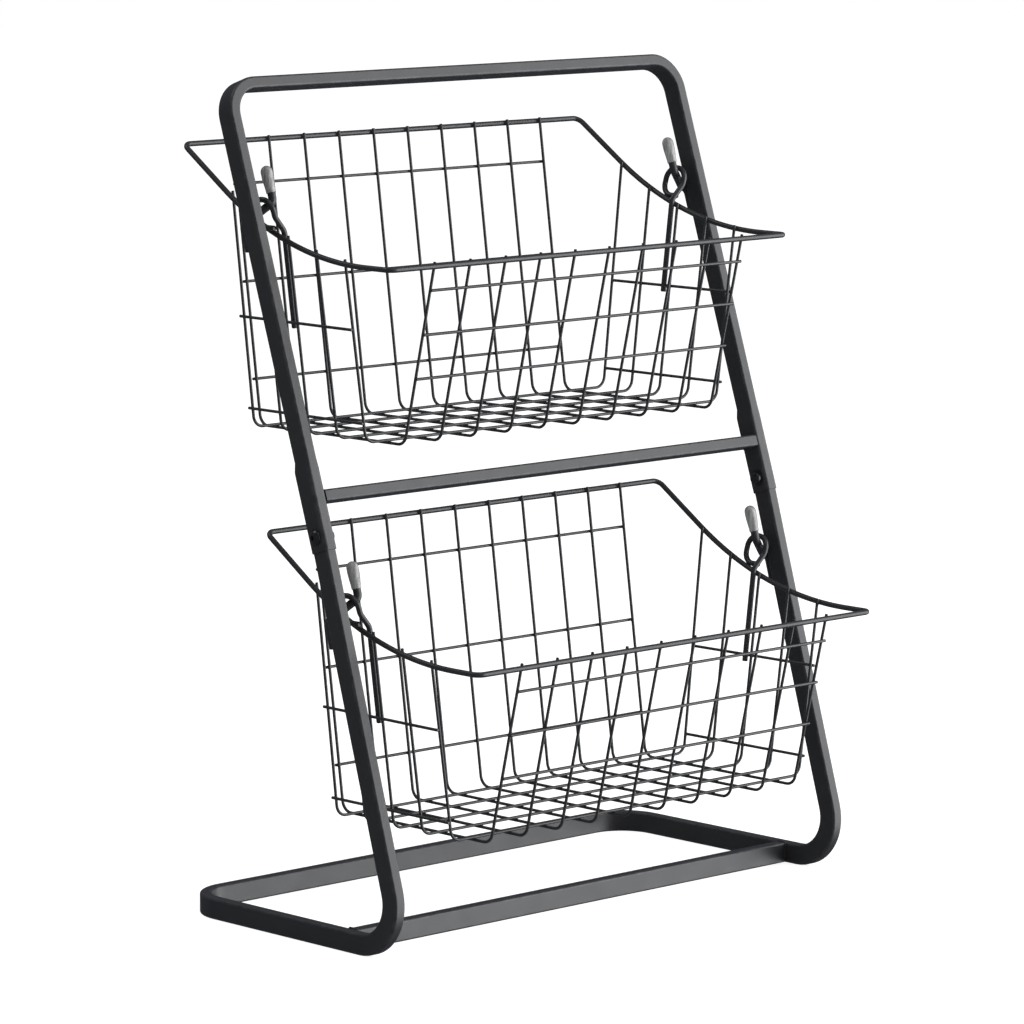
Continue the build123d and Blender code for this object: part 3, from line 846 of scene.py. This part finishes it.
feed(vinyl, {"Base Color": vinyl_tint, "Normal": vinyl_bump})


def cap_rings(mouth, along):
    """A cap turned about its peg: its radius grows from the mouth as a smooth step up to the
    bulge, and its end is an ellipse."""
    rise = np.linspace(0, cap_bulge_rise, cap_wall_steps)
    share = rise / cap_bulge_rise
    wall = cap_mouth_radius + cap_bulge * share**2 * (3 - 2 * share)
    angles = np.linspace(0, pi / 2, cap_dome_steps)
    top = cap_mouth_radius + cap_bulge
    dome_reach = cap_length - cap_dome * (1 - np.sin(angles))
    dome_radius = np.maximum(top * np.cos(angles), pole_radius)
    reach = np.concatenate([[0, cap_lip_rise], rise[1:], dome_reach])
    radius = np.concatenate([[cap_mouth_radius - cap_lip_inset], wall, dome_radius])
    return turned_rings(np.stack([reach, radius], axis=1), mouth, along)


cap_skins = []
for tier, lean in (("upper", upper_lean), ("lower", lower_lean)):
    for side in (-1, 1):
        mouth = on_upright(tier, side * riser_x, cap_reach - cap_length, peg_riser_depth)
        cap_skins.append(skin(cap_rings(mouth, up_along(lean))))
peg_caps = new_piece("peg_caps_dipped", cap_skins, cap_vinyl)
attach(peg_caps, "frame")
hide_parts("peg_caps")

# Basket rims: one closed loop of thick wire each, level at the front, sweeping up the sides and
# straight across the back, butt-welded to itself.
rim_diameter = 0.0036
rim_sides = 20
rim_back_reach = 0.0888
rim_front_reach = 0.1122
rim_front_height = 0.1169
rim_back_height = 0.1852
rim_slope = radians(33.5)
rim_corner_radius = 0.0055
rim_half_width = 0.179
hang_height = 0.148081
rim_knee = rim_back_reach - (rim_back_height - rim_front_height) / tan(rim_slope)
climb_room = hypot(rim_back_reach - rim_knee, rim_back_height - rim_front_height)
level_room = rim_front_reach + rim_knee
rim_bend_limit = 0.25
rim_bend_radius = min(
    rim_bend_limit, (min(climb_room, level_room) - 2 * rim_corner_radius) / tan(rim_slope / 2)
)
sweep_start = rim_knee - rim_bend_radius * tan(rim_slope / 2)
sweep_end = sweep_start + rim_bend_radius * sin(rim_slope)
sweep_steps = 28

wire_coat = powder_coat(
    "wire_coat",
    dark=(0.031, 0.032, 0.034, 1),
    light=(0.046, 0.047, 0.050, 1),
    roughness=0.30,
    roughness_spread=0.04,
    peel_height=0.000015,
    grain_values={"Peel Scale": 900.0, "Grain Scale": 3600.0},
)
floors = {tier: hang - np.array([0, 0, hang_height]) for tier, hang in hang_points.items()}


def rim_height(y):
    """Height of the rim's side over the floor: level, then an arc, then a straight climb."""
    if y < sweep_start:
        return rim_front_height
    if y < sweep_end:
        return rim_front_height + rim_bend_radius - sqrt(rim_bend_radius**2 - (y - sweep_start) ** 2)
    return rim_back_height - (rim_back_reach - y) * tan(rim_slope)


for tier, floor_point in floors.items():
    corners = np.array(
        [
            (-rim_half_width, rim_back_reach, rim_back_height),
            (rim_half_width, rim_back_reach, rim_back_height),
            (rim_half_width, rim_knee, rim_front_height),
            (rim_half_width, -rim_front_reach, rim_front_height),
            (-rim_half_width, -rim_front_reach, rim_front_height),
            (-rim_half_width, rim_knee, rim_front_height),
        ]
    )
    points, tangents = bent_line(
        corners + floor_point,
        [rim_corner_radius, rim_corner_radius, rim_bend_radius] * 2,
        closed=True,
        steps=sweep_steps,
    )
    rings = carry(circle(rim_diameter / 2, rim_sides), points, tangents, z_axis)
    rim = new_piece(f"{tier}_rim_bent", [skin(rings, closed=True)], wire_coat)
    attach(rim, f"{tier}_basket")
    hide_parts(f"{tier}_rim")

# Long wires: ten 2 mm wires in each basket, bent to run down the back wall, along under the floor
# and up the front wall. Their cut ends stand just above the rim.
wire_diameter = 0.002
wire_bend_radius = 0.008
wire_steps = 10
wire_end_rise = 0.0026
long_wire_count = 10
long_wire_margin = 0.02025
floor_back_reach = 0.0599
floor_front_reach = 0.0809
floor_half_width = 0.1593
rim_touch = 0.002875


def lean_inside(reach, height):
    """Lean of a wire from a floor corner that passes just inside the rim at that reach and height."""
    return atan2(reach, height) - asin(rim_touch / hypot(reach, height))


back_lean = lean_inside(rim_back_reach - floor_back_reach, rim_back_height)
front_lean = lean_inside(rim_front_reach - floor_front_reach, rim_front_height)
back_top = rim_back_height + wire_end_rise
front_top = rim_front_height + wire_end_rise
outer_wire_x = floor_half_width - long_wire_margin
long_wire_xs = np.linspace(-outer_wire_x, outer_wire_x, long_wire_count)

for tier, floor_point in floors.items():
    for index, x in enumerate(long_wire_xs):
        corners = np.array(
            [
                (x, floor_back_reach + back_top * tan(back_lean), back_top),
                (x, floor_back_reach, 0),
                (x, -floor_front_reach, 0),
                (x, -floor_front_reach - front_top * tan(front_lean), front_top),
            ]
        )
        line = bent_line(corners + floor_point, wire_bend_radius, steps=wire_steps)
        bent = rod(*line, wire_diameter, x_axis)
        wire = new_piece(f"{tier}_long_wire_{index + 1}_bent", [bent], wire_coat)
        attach(wire, f"{tier}_basket")
        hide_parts(f"{tier}_long_wire_{index + 1}")

# Cross wires: five wires in each basket that lie on the long wires and go up both side walls to
# the sweeping rim.
cross_wire_front = -0.0664
cross_wire_back = 0.0428
cross_wire_count = 5
cross_wire_ys = np.linspace(cross_wire_front, cross_wire_back, cross_wire_count)


def side_lean(y):
    """Lean of a side wire, from the floor's edge to just inside the rim."""
    return lean_inside(rim_half_width - floor_half_width, rim_height(y) - wire_diameter)


def side_wall_x(y, height):
    """Distance of a side wire from the middle at a height."""
    return floor_half_width + (height - wire_diameter) * tan(side_lean(y))


for tier, floor_point in floors.items():
    for index, y in enumerate(cross_wire_ys):
        top = rim_height(y) + wire_end_rise
        half = np.array([(side_wall_x(y, top), y, top), (floor_half_width, y, wire_diameter)])
        corners = np.vstack([half * [-1, 1, 1], half[::-1]]) + floor_point
        bent = rod(*bent_line(corners, wire_bend_radius, steps=wire_steps), wire_diameter, y_axis)
        wire = new_piece(f"{tier}_cross_wire_{index + 1}_bent", [bent], wire_coat)
        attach(wire, f"{tier}_basket")
        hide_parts(f"{tier}_cross_wire_{index + 1}")

# Rails: straight wires spot-welded across the outside of the walls, three on the back and on the
# front and two on each side.
rail_overhang = 0.0015
back_rail_heights = np.array([0.0299, 0.0936, 0.1573])
front_rail_heights = np.array([0.0434, 0.0723, 0.1012])
side_rail_heights = np.array([0.0146, 0.0754])


def straight_wire(start, end):
    """A straight round wire."""
    points = np.array([start, (start + end) / 2, end])
    tangents = np.tile(unit(end - start), (len(points), 1))
    return rod(points, tangents, wire_diameter, z_axis)


def side_rail_x(y, height):
    """Distance of a side rail from the middle: a straight line outside the side wires."""
    wires = np.array([side_wall_x(wire_y, height) for wire_y in cross_wire_ys])
    slope = (wires[-1] - wires[0]) / (cross_wire_ys[-1] - cross_wire_ys[0])
    line = wires[0] + slope * (cross_wire_ys - cross_wire_ys[0])
    lean = side_lean(cross_wire_ys[cross_wire_count // 2])
    bulge = (wires - line).max() + wire_diameter / cos(lean)
    return wires[0] + slope * (y - cross_wire_ys[0]) + bulge


for tier, floor_point in floors.items():
    rail_half = outer_wire_x + rail_overhang
    back_points = [
        (floor_back_reach + h * tan(back_lean) + wire_diameter / cos(back_lean), h)
        for h in back_rail_heights
    ]
    front_points = [
        (-floor_front_reach - h * tan(front_lean) - wire_diameter / cos(front_lean), h)
        for h in front_rail_heights
    ]
    for wall, rail_points in (("back", back_points), ("front", front_points)):
        wires = [
            straight_wire(floor_point + (-rail_half, y, h), floor_point + (rail_half, y, h))
            for y, h in rail_points
        ]
        rails = new_piece(f"{tier}_{wall}_rails_round", wires, wire_coat)
        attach(rails, f"{tier}_basket")
        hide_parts(f"{tier}_{wall}_rails")
    rail_ends = (cross_wire_ys[0] - rail_overhang, cross_wire_ys[-1] + rail_overhang)
    for hand, side in (("left", -1), ("right", 1)):
        wires = [
            straight_wire(*(floor_point + (side * side_rail_x(y, h), y, h) for y in rail_ends))
            for h in side_rail_heights
        ]
        rails = new_piece(f"{tier}_{hand}_side_rails_round", wires, wire_coat)
        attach(rails, f"{tier}_basket")
        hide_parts(f"{tier}_{hand}_side_rails")

# Hangers: thick wire welded inside each side wall. It is bent out over the rim and round into the
# closed eye that hangs on the peg.
hanger_diameter = 0.00375
leg_y = -0.0072
leg_foot = 0.004
leg_top_rise = 0.0035
eye_width = 0.017
eye_height = 0.0185
eye_bend_radius = 0.008
eye_side_run = 0.003
eye_lean_out = 0.0056
eye_top_rise = 0.0069
eye_end_gap = 0.003
eye_inset = 0.009
hang_x = inner_face_x - eye_inset
high_rail = side_rail_heights[-1]
leg_rail_x = side_rail_x(leg_y, high_rail) - (wire_diameter + hanger_diameter) / 2
leg_rim_x = rim_half_width - hanger_diameter
leg_slope = (leg_rim_x - leg_rail_x) / (rim_height(leg_y) - high_rail)
eye_top = hang_height + eye_top_rise
eye_side = eye_top - eye_bend_radius - eye_side_run
eye_slope = eye_lean_out / eye_height
hanger_stops = np.array(
    [
        (leg_rail_x - leg_foot * leg_slope, leg_y, high_rail - leg_foot),
        (leg_rim_x + leg_top_rise * leg_slope, leg_y, rim_height(leg_y) + leg_top_rise),
        (hang_x - (eye_top - eye_side) * eye_slope, -eye_width / 2, eye_side),
        (hang_x, -eye_width / 2, eye_top),
        (hang_x, eye_width / 2, eye_top),
        (hang_x - eye_lean_out, eye_width / 2, eye_top - eye_height),
        (hang_x - eye_lean_out, eye_end_gap - eye_width / 2, eye_top - eye_height),
    ]
)
for tier, floor_point in floors.items():
    for hand, side in (("left", -1), ("right", 1)):
        line = bent_line(hanger_stops * [side, 1, 1] + floor_point, eye_bend_radius)
        bent = rod(*line, hanger_diameter, y_axis, sides=rim_sides)
        hanger = new_piece(f"{tier}_{hand}_hanger_bent", [bent], wire_coat)
        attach(hanger, f"{tier}_basket")
        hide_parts(f"{tier}_{hand}_hanger")

# Spot welds: the press squeezes a little steel out where two wires cross or a wire meets the rim.
# They are flat swellings under the coat, one mesh for each basket.
weld_height = 0.0005
thin_weld_spread = 0.00115
thick_weld_spread = 0.0016
weld_steps = 8
weld_rings = 5
weld_turn = 1.4


def weld_spots(places, faces_along, spreads):
    """Flat ellipsoids at the places: each point is its place plus spread * cos(rise) round the
    joint's plane, and height * sin(rise) along the line that joins the two wires."""
    guide = np.where(np.abs(faces_along[:, :1]) > 0.5, y_axis, x_axis)
    across = unit(np.cross(guide, faces_along))
    over = np.cross(faces_along, across)
    rise = np.linspace(-weld_turn, weld_turn, weld_rings)[:, None, None]
    around = np.linspace(0, 2 * pi, weld_steps, endpoint=False)[None, :, None]
    flat = np.cos(around) * across[:, None, None] + np.sin(around) * over[:, None, None]
    wide = spreads[:, None, None, None] * np.cos(rise) * flat
    high = weld_height * np.sin(rise) * faces_along[:, None, None]
    return [skin(ball) for ball in places[:, None, None] + wide + high]


def wall_welds(lean, foot, heights, outward):
    """Welds of a front or back wall: one for each long wire at each height, on the line that leans
    from the foot, and half a wire further out, where the wire meets the rail or rim."""
    along = np.array([0, outward * cos(lean), -sin(lean)])
    x, height = (grid.ravel() for grid in np.meshgrid(long_wire_xs, heights))
    y = outward * (foot + height * tan(lean))
    places = np.stack([x, y, height], axis=1) + along * (wire_diameter / 2)
    return places, np.repeat(along[None], len(places), axis=0)


side_leans = np.array([side_lean(y) for y in cross_wire_ys])
floor_x, floor_y = (grid.ravel() for grid in np.meshgrid(long_wire_xs, cross_wire_ys))
floor_welds = np.stack([floor_x, floor_y, np.full_like(floor_x, wire_diameter / 2)], axis=1)
weld_sets = [(floor_welds, np.tile(z_axis, (len(floor_welds), 1)), thin_weld_spread)]
for lean, foot, outward, heights, top in (
    (back_lean, floor_back_reach, 1, back_rail_heights, rim_back_height),
    (front_lean, floor_front_reach, -1, front_rail_heights, rim_front_height),
):
    rail_welds = wall_welds(lean, foot, heights, outward)
    rim_welds = wall_welds(lean, foot, [top], outward)
    weld_sets += [(*rail_welds, thin_weld_spread), (*rim_welds, thick_weld_spread)]
for side in (-1, 1):
    away = np.stack([side * np.cos(side_leans), 0 * side_leans, -np.sin(side_leans)], axis=1)
    for heights, spread in (
        (np.full(cross_wire_count, side_rail_heights[0]), thin_weld_spread),
        (np.full(cross_wire_count, side_rail_heights[1]), thin_weld_spread),
        (np.array([rim_height(y) for y in cross_wire_ys]), thick_weld_spread),
    ):
        wires = np.array([side_wall_x(y, h) for y, h in zip(cross_wire_ys, heights)])
        places = np.stack([side * wires, cross_wire_ys, heights], axis=1) + away * wire_diameter / 2
        weld_sets.append((places, away, spread))
    leg_places = np.array(
        [
            (side * (leg_rail_x + hanger_diameter / 2), leg_y, high_rail),
            (side * (leg_rim_x + hanger_diameter / 2), leg_y, rim_height(leg_y)),
        ]
    )
    weld_sets.append((leg_places, np.array([[float(side), 0, 0]] * 2), thick_weld_spread))
places, faces_along, spreads = (
    np.concatenate(parts)
    for parts in zip(*((spots, lines, np.full(len(spots), size)) for spots, lines, size in weld_sets))
)
for tier, floor_point in floors.items():
    welds = new_piece(
        f"{tier}_spot_welds", weld_spots(places + floor_point, faces_along, spreads), wire_coat
    )
    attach(welds, f"{tier}_basket")
